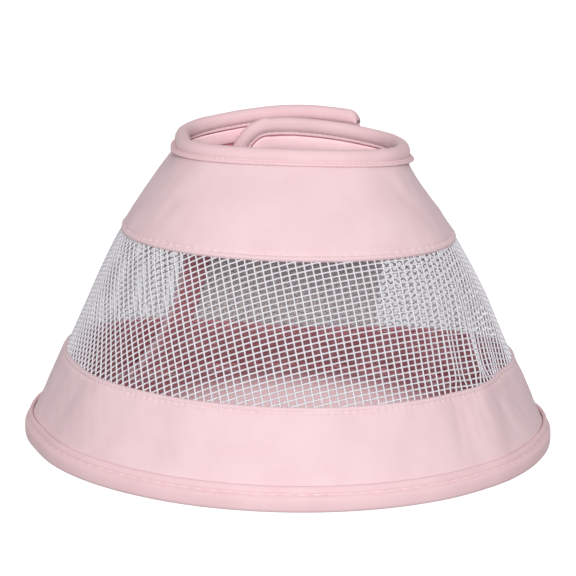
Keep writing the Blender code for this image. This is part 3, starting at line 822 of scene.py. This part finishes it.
controls = []
for width, out, free in OUTSIDE_LEG:
    swell = lift * free if free > 0 else 0.12 * free * pull
    puff = full if width < 5 else 0
    controls.append(on_hem(width * MM, (out + swell + puff) * MM))
under = on_hem(EDGE_INSET, 0.0)
for reach, height in FOOT:
    row = under + outwards * reach * MM
    row[:, 2] = height * MM
    controls.append(row)
for width, out, free in INSIDE_LEG:
    controls.append(on_hem(width * MM, (out + 0.12 * free * pull) * MM))
for width, out in LINING:
    controls.append(on_hem(np.maximum(width * MM, fold), out * MM))
hem_places = rounded(controls, 2)
hem_places[..., 2] = np.maximum(hem_places[..., 2], 0.0)
hem_cut = strip_cut(hem_run, 20 * MM, len(hem_places))
hem_tape = closed_strip("hem_tape", hem_places, hem_cut, bias_tape)
first_inside = 2 * (len(OUTSIDE_LEG) + len(FOOT))
hem_rows = np.arange(len(hem_places))
paint_inside_shade(hem_tape, (hem_rows >= first_inside) & (hem_rows < first_inside + 2 * len(INSIDE_LEG)), columns)
print("Hem tape:", len(hem_tape.data.polygons), "faces,", round(hem_run[-1] / MM), "mm long")

# %% [markdown]
# The neck's tape is the softest part of the collar. It is rolled over the upper band into
# a full cushion for the animal's neck and sewn with small stitches. Its lower edge stays
# free as a narrow lip, which stands off at both sides. At the outer flap it turns a tight
# corner, and at the inner flap a wide one.

# %% The way along the neck's edge
neck_end = float(outer_end(4.0))
degree = float(np.linalg.norm(wall_slopes(neck_end, 4.0)[0]))
corner_turns = np.linspace(0, 90, 9)[:-1]
straight_start = neck_end + OUTER_CORNER / degree
_, corner_level = moved(inner_end(4.0), 4.0, 0.0, -INNER_CORNER)
corner_start, _ = moved(inner_end(corner_level), corner_level, -INNER_CORNER, 0.0)
straight = np.linspace(straight_start, float(corner_start), 430)
wide_turns = np.linspace(0, math.pi / 2, 32)[1:]


def along_neck(width, out):
    """Places at this distance in from the neck's edge, all along it and round both corners."""
    side = NECK_OUTER if out > 0 else NECK_INNER
    past = OUTER_CORNER * (1 - np.cos(np.radians(corner_turns)))
    drop = OUTER_CORNER * (1 - np.sin(np.radians(corner_turns)))
    _, low = moved(neck_end, 4.0, 0.0, -drop - width * (1 - drop / side))
    first = (outer_end(low) + past / degree, low)
    second = moved(straight, 4.0, 0.0, -width)
    reach = INNER_CORNER - width
    third = moved(corner_start, corner_level, reach * np.sin(wide_turns), reach * np.cos(wide_turns))
    return [np.concatenate(parts) for parts in zip(first, second, third)]


# %% Neck tape
NECK_STITCH, NECK_STITCH_PITCH = 5.25 * MM, 2.1 * MM
top_angle, _ = along_neck(0.0, 1)
neck_run = run_along(place(*along_neck(3 * MM, 1), 2.3 * MM))
pull = needle_pull(neck_run, NECK_STITCH_PITCH)
lift = 1.5 * bump(top_angle, -84, 24) + 1.35 * bump(top_angle, 88, 24) + 0.1 * (1 + waves(neck_run, 0, 24 * MM, 9))
soft = 0.10 * waves(neck_run, 0, 14 * MM, 3) + 0.05 * waves(neck_run, 0, 6 * MM, 4)
# Distance from the neck's edge and from the wall in mm, the share of the lift that it takes,
# and whether it swells softly or is pulled in by the stitches
NECK_SECTION = (
    (6.85, 1.28, 1.0, "plain"), (6.72, 1.66, 1.0, "plain"), (6.1, 1.84, 0.75, "plain"), (5.6, 1.72, 0.25, "plain"),
    (5.25, 1.46, 0, "sewn"), (4.9, 1.76, 0, "plain"), (4.2, 2.26, 0, "soft"), (3.2, 2.56, 0, "soft"),
    (2.1, 2.50, 0, "soft"), (1.1, 2.06, 0, "soft"), (0.35, 1.25, 0, "soft"), (0.0, 0.35, 0, "plain"),
    (0.0, -0.5, 0, "plain"), (0.4, -1.35, 0, "soft"), (1.2, -2.05, 0, "soft"), (2.3, -2.42, 0, "soft"),
    (3.3, -2.45, 0, "soft"), (4.1, -2.20, 0, "soft"), (4.75, -1.80, 0, "plain"), (5.25, -1.45, 0, "sewn"),
    (5.7, -1.70, 0, "plain"), (6.12, -1.66, 0, "plain"), (6.2, -1.36, 0, "plain"), (5.8, -1.17, 0, "plain"),
    (4.2, -1.15, 0, "plain"), (3.0, -1.12, 0, "plain"), (2.5, 0.0, 0, "plain"), (3.0, 1.12, 0, "plain"),
    (4.5, 1.15, 0, "plain"), (6.4, 1.16, 0.6, "plain"),
)
controls = []
for width, out, free, kind in NECK_SECTION:
    sewn_in = -0.10 * pull if out > 0 else 0.12 * pull
    swell = {"plain": 0.0, "soft": np.sign(out) * soft, "sewn": sewn_in}[kind]
    controls.append(place(*along_neck(width * MM, out), (out + free * lift + swell) * MM))
neck_places = rounded(controls, 2)
neck_cut = strip_cut(neck_run, 19 * MM, len(neck_places))
neck_tape = closed_strip("neck_roll", neck_places, neck_cut, bias_tape)
print("Neck tape:", len(neck_tape.data.polygons), "faces,", round(neck_run[-1] / MM), "mm long")

# %% [markdown]
# The remaining strips are plain ones: a pale lining tape inside the neck, and a tape
# folded over the straight end of each flap. They are laid the same way, as closed
# cross-sections along a line.

# %% Pale lining tape inside the neck
near = 6.7  # mm below the neck's edge
clear, _ = moved(outer_end(4.0), 4.0, END_TAPE + SEAM_GAP, 0.0)
FACING_SECTION = (
    (near, -1.45), (near, -1.9), (near + 0.8, -2.15), (near + 2.8, -2.25), (near + 4.8, -2.1), (near + 5.55, -1.75),
    (near + 5.6, -1.35), (near + 4.4, -1.2), (near + 2.4, -1.2), (near + 0.7, -1.25),
)
kept = along_neck(near * MM, -1)[0] > float(clear)
rows = []
for width, out in FACING_SECTION:
    angle, level = along_neck(width * MM, out)
    out = out - 0.08 * waves(neck_run[kept], width * MM, 13 * MM, 31)
    rows.append(place(angle[kept], level[kept], out * MM))
facing_places = rounded(rows, 2)
facing_cut = strip_cut(run_along(facing_places[6]), 11.5 * MM, len(facing_places))
neck_facing = closed_strip("neck_lining_tape", facing_places, facing_cut, pale_lining_painted_light)

# %% Tapes over the flaps' ends
END_STITCH, END_ROWS = 8.4, 190  # the groove's distance from the end in mm, and places up the tape
END_SECTION = (
    (10.0, 1.35), (9.9, 1.75), (9.4, 1.98), (8.4, 1.7), (7.4, 2.05), (5.0, 2.3), (2.4, 2.42), (1.2, 2.1), (0.3, 1.2),
    (0.0, 0.0), (0.3, -1.2), (1.2, -2.1), (2.4, -2.42), (5.0, -2.3), (7.4, -2.05), (8.4, -1.7), (9.4, -1.98),
    (9.9, -1.75), (10.0, -1.35), (9.2, -1.17), (5.2, -1.15), (2.5, 0.0), (5.2, 1.15), (9.2, 1.17),
)


def end_tape(name, end_at, inwards, low_inset, high_inset, seed):
    """Tape folded over a flap's end, from the hem's tape up to the neck's."""
    _, low = moved(end_at(0.0), 0.0, 0.0, low_inset + SEAM_GAP)
    _, high = moved(end_at(4.0), 4.0, 0.0, -high_inset - SEAM_GAP)
    level = np.linspace(float(low), float(high), END_ROWS)
    run = run_along(place(end_at(level), level))
    pull = needle_pull(run, TOPSTITCH_PITCH)
    rows = []
    for width, out in END_SECTION:
        angle, _ = moved(end_at(level), level, inwards * width * MM, 0.0)
        dent = 0.15 * pull * bump(width, END_STITCH, 0.5) - 0.12 * waves(run, 0, 15 * MM, seed) * bump(width, 3.0, 2.4)
        rows.append(place(angle, level, (out - np.sign(out) * dent) * MM))
    places = rounded(rows, 2)
    made = closed_strip(name, places, strip_cut(run, 24 * MM, len(places)), bias_tape)
    paint_inside_shade(made, np.repeat([out < 0 for _, out in END_SECTION], 2), END_ROWS)
    return made, run


inner_end_tape, inner_run = end_tape("inner_flap_tape", inner_end, -1, HEM_OUTER, INNER_CORNER, 7)
outer_end_tape, outer_run = end_tape("outer_flap_tape", outer_end, 1, HEM_OUTER, max(NECK_OUTER, NECK_INNER), 8)
print("End tapes:", round(inner_run[-1] / MM), "and", round(outer_run[-1] / MM), "mm long")

# %% [markdown]
# The flaps close with hook and loop tape. The loop side is a wide pad of fuzzy knit on
# the inner flap. It shows through the net as a pale grey patch. The hook side is a
# narrow strip inside the outer flap. Both are sewn on with a seam near their edges,
# which is a groove in the pad.

# %% Hook and loop
def pile(name, pale, deep, size, strength):
    """A short dense pile: noise at the size of one loop, for colour and for height."""
    made, tree = new_material(name)
    cut = add_node(tree, "ShaderNodeUVMap", {"uv_map": "flat_cut"})
    tufts = add_node(tree, "ShaderNodeTexVoronoi", {"Scale": 1 / size}, Vector=cut.outputs[0])
    fuzz = add_node(tree, "ShaderNodeTexNoise", {"Scale": 0.6 / size, "Detail": 3.0}, Vector=cut.outputs[0])
    operands = {"i0": tufts.outputs["Distance"], "i1": fuzz.outputs["Fac"]}
    height = add_node(tree, "ShaderNodeMath", {"operation": "ADD"}, **operands)
    rise = add_node(tree, "ShaderNodeBump", {"Strength": strength, "Distance": 0.3 * MM}, Height=height.outputs[0])
    settings = {"Roughness": 0.95, "IOR": 1.5, "Specular IOR Level": 0.15, "Sheen Weight": 0.25}
    colour = two_tones(tree, fuzz.outputs["Fac"], deep, pale)
    finish_with(tree, settings, Base_Color=colour, Normal=rise.outputs[0])
    return made


# Brushed nylon loop: no gloss at all, a greyish white with tufts.
loop_pile = pile("white_nylon_loop_pile", "#FFF5F1", "#F0E4E0", 0.7 * MM, 0.6)
# Moulded nylon hook: stiffer, a row pattern too fine to see from outside.
hook_pile = pile("white_nylon_hook_tape", "#E4E2E2", "#C9C6C7", 0.9 * MM, 0.6)
PATCH_FAN = 0.16  # how much wider a pad gets for each level down the cone


def sewn_patch(name, end_at, inwards, width, side, material, columns):
    """A pad over the window next to a flap's end, with a stitched groove near its edges."""
    _, low = moved(end_at(1.0), 1.0, 0.0, -4 * MM)
    _, high = moved(end_at(2.0), 2.0, 0.0, 4 * MM)
    up, along = np.linspace(0, 1, 60), np.linspace(0, 1, columns)
    level = float(low) + (float(high) - float(low)) * up[:, None]
    distance = END_TAPE + SEAM_GAP + width * along * (1 + PATCH_FAN * (2 - level))
    angle, level = moved(end_at(level), level, inwards * distance, 0.0)
    height = float(np.linalg.norm(place(angle[-1, 0], float(high)) - place(angle[0, 0], float(low))))
    from_edge = np.minimum(np.minimum(up[:, None], 1 - up[:, None]) * height, np.minimum(along, 1 - along) * width)
    groove = bump(from_edge, 2.4 * MM, 0.5 * MM)
    swell = 0.08 * waves(width * along, height * up[:, None], 9 * MM, 12)
    outer = 0.5 * PATCH_WALL * (0.35 + 0.65 * ease(from_edge / (0.6 * MM))) - 0.3 * MM * groove + swell * MM
    middle = BAND_WALL / 2 + PATCH_GAP + PATCH_WALL / 2
    faces = [place(angle, level, side * (middle + outer))]
    faces.append(place(angle, level, side * (middle - PATCH_WALL / 2))[::-1])
    cut = np.stack(np.broadcast_arrays(width * along, height * up[:, None]), -1)
    return closed_strip(name, np.concatenate(faces), np.concatenate((cut, cut[::-1])), material)


loop_patch = sewn_patch("loop_pad", inner_end, -1, 63 * MM, 1, loop_pile, 84)
hook_patch = sewn_patch("hook_strip", outer_end, 1, 26 * MM, -1, hook_pile, 36)
print("Pads:", [len(made.data.polygons) for made in (loop_patch, hook_patch)])

# %% [markdown]
# Stitches are short raised bits of thread with a needle hole at each end. There are well
# over a thousand, so one small capsule is made with an operator and its points are laid
# along each seam. The ends of a stitch sink into the cloth, which makes the dark dots
# that the eye sees first.

# %% One stitch, and a seam of them
stitch = bmesh.new()
bmesh.ops.create_uvsphere(stitch, u_segments=6, v_segments=6, radius=1.0)
bmesh.ops.rotate(stitch, verts=stitch.verts, matrix=Matrix.Rotation(math.pi / 2, 3, "Y"))
stitch_points = np.array([vertex.co for vertex in stitch.verts])
stitch_faces = [[vertex.index for vertex in face.verts] for face in stitch.faces]
stitch.free()


def seam_of(centres, normals, ways, length, thickness):
    """The points of one stitch at each centre, bowed so that its ends sink in."""
    sides = np.cross(normals, ways)
    x, y, z = stitch_points.T
    lengthwise = np.sign(x) * np.abs(x) ** 0.6 * length / 2
    rise = (z - 1.5 * x**2) * thickness / 2
    return (
        centres[:, None] + ways[:, None] * lengthwise[None, :, None]
        + sides[:, None] * (y * thickness / 2)[None, :, None] + normals[:, None] * rise[None, :, None]
    )


def along_seam(angle, level, out, pitch, length=0.72, thickness=0.34 * MM):
    """Stitches every pitch along a line of places on the wall."""
    line = place(angle, level, out)
    run = run_along(line)
    at = np.arange(pitch / 2, run[-1], pitch)
    angle, level, out = (np.interp(at, run, values + 0 * run) for values in (angle, level, out))
    centres = place(angle, level, out)
    ends = [np.stack([np.interp(at + step, run, axis) for axis in line.T], -1) for step in (0.3 * MM, -0.3 * MM)]
    normals = unit(place(angle, level, out + 0.5 * MM) - place(angle, level, out - 0.5 * MM))
    facing = np.where(np.mean(out) >= 0, 1.0, -1.0)
    return seam_of(centres, facing * normals, unit(ends[0] - ends[1]), length * pitch, thickness)


def sewn(name, seams):
    """One mesh of many stitches."""
    points = np.concatenate(seams)
    count = stitch_points.shape[0]
    faces = [[corner + block * count for corner in face] for block in range(len(points)) for face in stitch_faces]
    mesh = bpy.data.meshes.new(name)
    mesh.from_pydata(points.reshape(-1, 3).tolist(), [], faces)
    mesh.polygons.foreach_set("use_smooth", np.ones(len(mesh.polygons), bool))
    cut = np.tile(stitch_points[:, :2] * 2 * MM, (len(points), 1))
    layer = mesh.uv_layers.new(name="flat_cut")
    corners = np.zeros(len(mesh.loops), np.int32)
    mesh.loops.foreach_get("vertex_index", corners)
    layer.data.foreach_set("uv", cut[corners].ravel())
    mesh.materials.append(thread)
    made = bpy.data.objects.new(name, mesh)
    scene.collection.objects.link(made)
    print(name, len(points), "stitches,", len(faces), "faces")
    return made


# %% Sew the seams
def band_seams(places):
    """Outer and inner topstitching of a band, at its groove."""
    angle, level, out, width = places
    rows = [row for row in range(len(width)) if abs(width[row, 0] - TOPSTITCH_INSET) < 0.01 * MM]
    out = out + np.sign(out) * 0.04 * MM
    return [along_seam(angle[row], level[row], out[row], TOPSTITCH_PITCH) for row in rows]


def hem_seam(out):
    return along_seam(*moved(hem_angle, 0.0, 0.0, HEM_STITCH), out * MM, HEM_STITCH_PITCH, 0.80, 0.42 * MM)


band_stitches = sewn("window_stitches", band_seams(lower_places) + band_seams(upper_places))
hem_stitches = sewn("hem_stitches", [hem_seam(1.66), hem_seam(-1.66)])
neck_seams = [
    along_seam(*along_neck(NECK_STITCH, side), side * 1.5 * MM, NECK_STITCH_PITCH, 0.7) for side in (1, -1)
]
neck_stitches = sewn("neck_stitches", neck_seams)

# %% [markdown]
# Last, each piece is tied to the frame. All of them ride on the one body, because cloth has no joints. Each stands for
# its CAD solid, whose material slot the table lists beside it. Sheets say what size they were cut to. The printed
# areas are the check for those sizes.

# %% Tie every piece to the frame
PIECES = (
    (lower_band, "lower_band", "pink_twill"), (upper_band, "upper_band", "pink_twill"),
    (window_net, "net_panel", "white_net"), (hem_tape, "hem_binding", "pink_tape"),
    (neck_tape, "neck_binding", "pink_tape"), (inner_end_tape, "inner_end_binding", "pink_tape"),
    (outer_end_tape, "outer_end_binding", "pink_tape"), (neck_facing, "neck_facing", "pale_facing"),
    (loop_patch, "loop_patch", "hook_and_loop"), (hook_patch, "hook_patch", "hook_and_loop"),
)
for piece, node, slot in PIECES:
    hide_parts(node)
for piece in [piece for piece, _, _ in PIECES] + [band_stitches, hem_stitches, neck_stitches]:
    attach(piece, "root")

def half_area(piece):
    """Half a closed sheet's area: one face of the cloth, in square metres."""
    return sum(face.area for face in piece.data.polygons) / 2


SHEETS = (
    (lower_band, (0.640, 0.042), "stretched", ["hem_tape", "window_net"]),
    (upper_band, (0.400, 0.034), "stretched", ["neck_roll", "window_net"]),
    (hem_tape, (hem_run[-1], 0.020), "folded", ["lower_band_twill"]),
    (inner_end_tape, (inner_run[-1], 0.022), "folded", ["upper_band_twill"]),
    (outer_end_tape, (outer_run[-1], 0.022), "folded", ["upper_band_twill"]),
    (loop_patch, (0.068, 0.052), "stretched", ["window_net"]),
    (hook_patch, (0.028, 0.052), "stretched", ["window_net"]),
)
for piece, size, held, rests_on in SHEETS:
    print(piece.name, "half area", round(half_area(piece) * 1e6), "of", round(size[0] * size[1] * 1e6), "mm2")
print("window_net half area", round(half_area(window_net) * 1e6))
